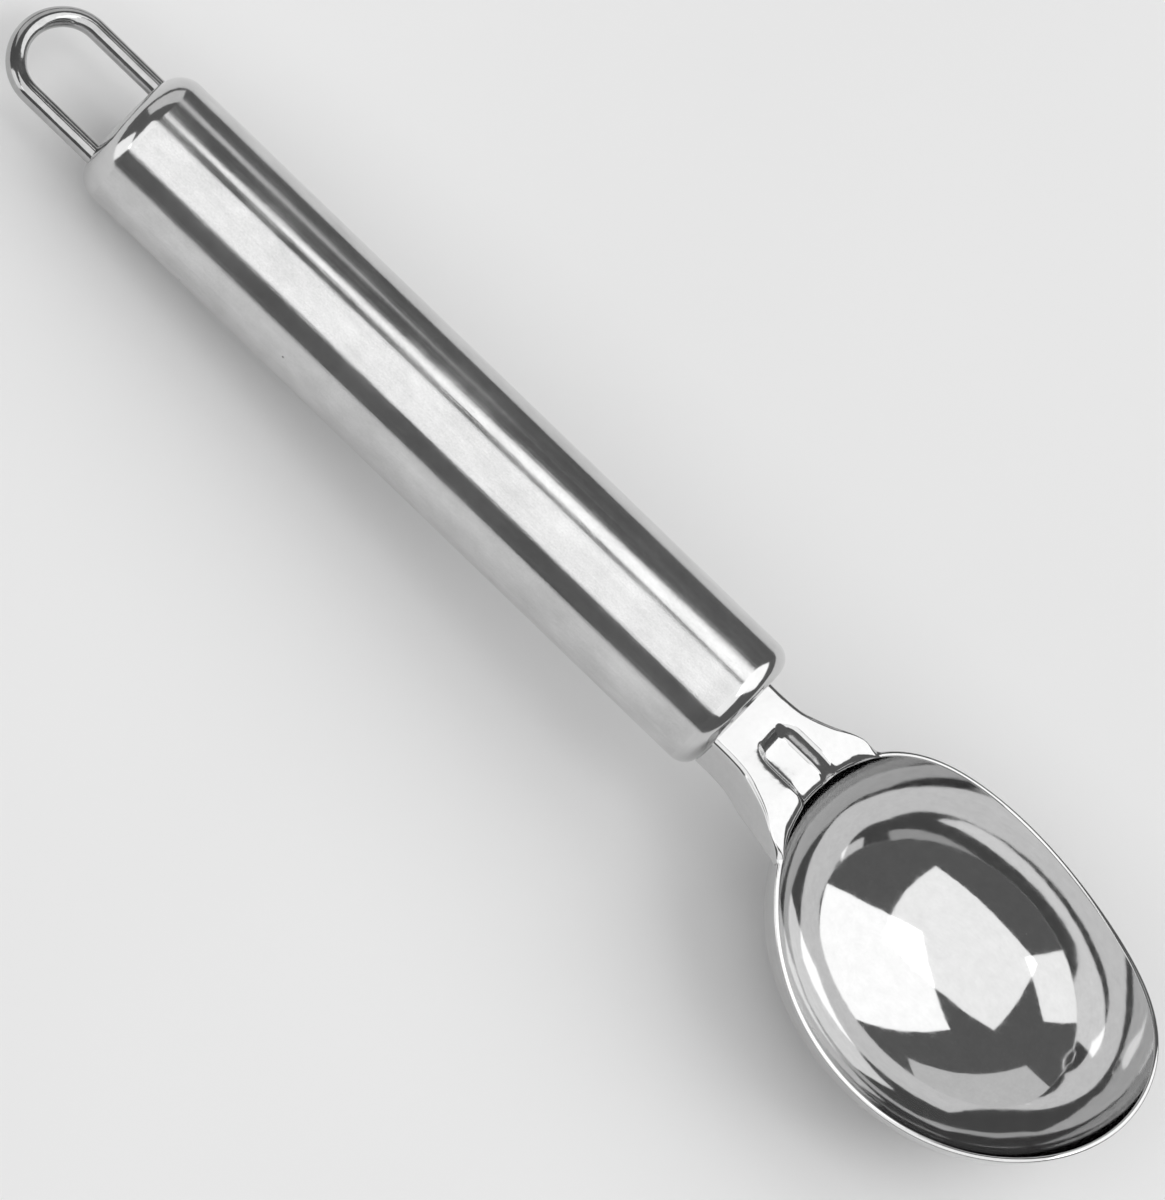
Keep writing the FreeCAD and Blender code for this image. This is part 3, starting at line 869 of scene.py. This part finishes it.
def mirror_steel(name):
    """Polished sheet of the bowl: near mirror, faint polishing lines, a few pits and rubs."""
    m = Nodes(name)
    x, y, z, p = m.handle_mm()
    wave = m.noise(p, 0.16, 2.0, 0.5)
    cloud = m.noise(p, 0.5, 4.0, 0.6)
    lines = m.noise(m.scaled(p, (0.7, 2.2, 5.0)), 1.0, 3.0, 0.65)
    pits = m.specks(p, 0.75, 0.06, 0.12)
    dust = m.specks(m.scaled(p, (1.0, 1.0, 1.0)), 1.9, 0.08, 0.07)
    rough = m.math("ADD", m.range(cloud, 0.35, 0.7, 0.035, 0.075), m.range(lines, 0.4, 0.7, 0.0, 0.02))
    rough = m.math("ADD", rough, m.math("MULTIPLY", pits, 0.25))
    c = m.math("ADD", m.range(cloud, 0.3, 0.7, F0 - 0.03, F0 + 0.015), m.range(lines, 0.3, 0.7, -0.012, 0.012))
    c = m.math("MULTIPLY", c, m.math("SUBTRACT", 1.0, m.math("MULTIPLY", pits, 0.35)))
    c = m.math("MULTIPLY", c, m.math("SUBTRACT", 1.0, m.math("MULTIPLY", dust, 0.25)))
    n1 = m.bump(wave, 0.00005, 0.5)
    n2 = m.bump(lines, 0.000003, 0.25, n1)
    m.steel(m.grey(c), rough, n2)
    return m.mat


def neck_steel(name):
    """The pressed neck: the same sheet, less bright than the bowl, with small ripples from pressing."""
    m = Nodes(name)
    x, y, z, p = m.handle_mm()
    wave = m.noise(p, 0.42, 2.0, 0.5)
    cloud = m.noise(p, 0.9, 4.0, 0.6)
    grain = m.noise(p, 3.2, 3.0, 0.6)
    pits = m.specks(p, 0.8, 0.07, 0.15)
    rough = m.math("ADD", m.range(cloud, 0.35, 0.7, 0.07, 0.13), m.range(grain, 0.35, 0.7, 0.0, 0.03))
    rough = m.math("ADD", rough, m.math("MULTIPLY", pits, 0.25))
    c = m.math("ADD", m.range(cloud, 0.3, 0.7, F0 - 0.022, F0 + 0.015), m.range(grain, 0.3, 0.7, -0.014, 0.014))
    c = m.math("MULTIPLY", c, m.math("SUBTRACT", 1.0, m.math("MULTIPLY", pits, 0.35)))
    n1 = m.bump(wave, 0.00005, 0.5)
    n2 = m.bump(grain, 0.000006, 0.4, n1)
    m.steel(m.grey(c), rough, n2)
    return m.mat


def wire_steel(name):
    """Drawn and polished wire: lines along the wire, small nicks."""
    m = Nodes(name)
    x, y, z, p = m.handle_mm()
    drawn = m.noise(m.scaled(p, (0.3, 2.5, 6.0)), 1.0, 3.0, 0.6)
    cloud = m.noise(p, 0.45, 3.0, 0.55)
    nick = m.specks(p, 0.55, 0.09, 0.22)
    rough = m.math("ADD", m.range(cloud, 0.3, 0.7, 0.07, 0.13), m.range(drawn, 0.3, 0.7, -0.01, 0.03))
    rough = m.math("ADD", rough, m.math("MULTIPLY", nick, 0.25))
    c = m.math("ADD", m.range(cloud, 0.3, 0.7, F0_WIRE - 0.05, F0_WIRE + 0.04), m.range(drawn, 0.3, 0.7, -0.015, 0.015))
    c = m.math("MULTIPLY", c, m.math("SUBTRACT", 1.0, m.math("MULTIPLY", nick, 0.35)))
    n1 = m.bump(drawn, 0.000006, 0.3)
    n2 = m.bump(cloud, 0.00005, 0.5, n1)
    m.steel(m.grey(c), rough, n2)
    return m.mat


def weld_steel(name):
    """Dressed weld beads: rippled and a little darker."""
    m = Nodes(name)
    x, y, z, p = m.handle_mm()
    ripple = m.noise(p, 2.2, 4.0, 0.6)
    cloud = m.noise(p, 0.7, 2.0, 0.5)
    rough = m.range(ripple, 0.3, 0.7, 0.16, 0.32)
    c = m.range(cloud, 0.3, 0.7, F0 - 0.12, F0 - 0.02)
    m.steel(m.grey(c, 1.0, 0.99, 0.97), rough, m.bump(ripple, 0.00008, 0.6))
    return m.mat


def dress(ob, mat):
    ob.data.materials.clear()
    ob.data.materials.append(mat)


dress(tube, satin("handle satin"))
cap_mat = polished_cap("cap polish")
dress(front, cap_mat)
dress(rear, cap_mat)
dress(loop, wire_steel("wire polish"))
dress(scoop, mirror_steel("bowl mirror"))
dress(stem, neck_steel("neck polish"))
weld_mat = weld_steel("weld bead")
handle_group = [tube, front, rear]
loop_group = [loop]
head_group = [scoop]
neck_group = [stem]
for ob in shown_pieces():
    if ob in (tube, front, rear, loop, scoop, stem):
        continue
    dress(ob, weld_mat)
    (neck_group if "tang" in ob.name else handle_group).append(ob)

# ------------------------------------------------------------------ camera
BACK_H = np.array([0.0, -0.5, 0.8660254])
RIGHT_H = np.array([0.7195, 0.6014, 0.3473])
RIGHT_H = RIGHT_H - BACK_H * (RIGHT_H @ BACK_H)
RIGHT_H /= np.linalg.norm(RIGHT_H)
UP_H = np.cross(BACK_H, RIGHT_H)
AIM_H = np.array([-27.1, -3.27, -1.89])
DIST = 1.3
aim = Vector(to_row(AIM_H).tolist())
right, up, back = (Vector(dir_row(v).tolist()) for v in (RIGHT_H, UP_H, BACK_H))
cam_data = bpy.data.cameras.new("camera")
cam_data.sensor_width = 36.0
cam_data.lens = 36.0 * DIST / 0.16872
cam_data.clip_start, cam_data.clip_end = 0.05, 20.0
cam = bpy.data.objects.new("camera", cam_data)
bpy.context.scene.collection.objects.link(cam)
m3 = Matrix((right, up, back)).transposed()
cam.matrix_world = Matrix.Translation(aim + back * DIST) @ m3.to_4x4()
bpy.context.scene.camera = cam

# ------------------------------------------------------------------ surroundings
floor_me = bpy.data.meshes.new("floor")
floor_me.from_pydata([(-2.5, -2.5, 0), (2.5, -2.5, 0), (2.5, 2.5, 0), (-2.5, 2.5, 0)], [], [(0, 1, 2, 3)])
floor = bpy.data.objects.new("floor", floor_me)
bpy.context.scene.collection.objects.link(floor)
floor.location.z = -0.00002
fm = Nodes("floor")
shade = fm.range(fm.noise(fm.nt.nodes.new("ShaderNodeTexCoord").outputs["Object"], 9.0, 2.0), 0.3, 0.7, 0.88, 0.9)
df = fm.nt.nodes.new("ShaderNodeBsdfDiffuse")
fm.put(df.inputs["Color"], fm.grey(shade))
tr = fm.nt.nodes.new("ShaderNodeBsdfTransparent")
ge = fm.nt.nodes.new("ShaderNodeNewGeometry")
mx = fm.nt.nodes.new("ShaderNodeMixShader")
fm.nt.links.new(ge.outputs["Backfacing"], mx.inputs[0])
fm.nt.links.new(df.outputs[0], mx.inputs[1])
fm.nt.links.new(tr.outputs[0], mx.inputs[2])
fo = fm.nt.nodes.new("ShaderNodeOutputMaterial")
fm.nt.links.new(mx.outputs[0], fo.inputs["Surface"])
floor_me.materials.append(fm.mat)

world = bpy.data.worlds.new("world")
world.use_nodes = True
wn = world.node_tree
wn.nodes.clear()
wl = wn.nodes.new("ShaderNodeLightPath")
bg_cam = wn.nodes.new("ShaderNodeBackground")
bg_cam.inputs[0].default_value = (0.9, 0.9, 0.9, 1)
bg_all = wn.nodes.new("ShaderNodeBackground")
bg_all.inputs[0].default_value = (0.14, 0.14, 0.14, 1)
mix2 = wn.nodes.new("ShaderNodeMixShader")
wn.links.new(wl.outputs["Is Camera Ray"], mix2.inputs[0])
wn.links.new(bg_all.outputs[0], mix2.inputs[1])
wn.links.new(bg_cam.outputs[0], mix2.inputs[2])
wo = wn.nodes.new("ShaderNodeOutputWorld")
wn.links.new(mix2.outputs[0], wo.inputs["Surface"])
bpy.context.scene.world = world


def softbox(name, toward, wide, high, radiance, away=2.4):
    """A plain rectangular soft light, shared by every piece: direction in the room, full angles in degrees."""
    v = Vector(toward).normalized()
    w = 2 * away * float(np.tan(np.radians(wide / 2)))
    h = 2 * away * float(np.tan(np.radians(high / 2)))
    d = bpy.data.lights.new(name, "AREA")
    d.shape = "RECTANGLE"
    d.size = w
    d.size_y = h
    d.energy = radiance * float(np.pi) * w * h
    o = bpy.data.objects.new(name, d)
    bpy.context.scene.collection.objects.link(o)
    o.location = v * away
    o.rotation_mode = "QUATERNION"
    o.rotation_quaternion = (-v).to_track_quat("-Z", "Y")
    o.visible_camera = False
    return o


softbox("overhead", (0.06, -0.42, 0.9), 66, 60, 1.2)
softbox("key", (0.39, 0.42, 0.82), 52, 62, 1.45)
softbox("side", (-0.66, -0.75, 0.22), 36, 50, 1.2)
softbox("back", (-0.6, 0.62, 0.42), 60, 34, 0.6)
bpy.context.scene.view_settings.view_transform = "Standard"
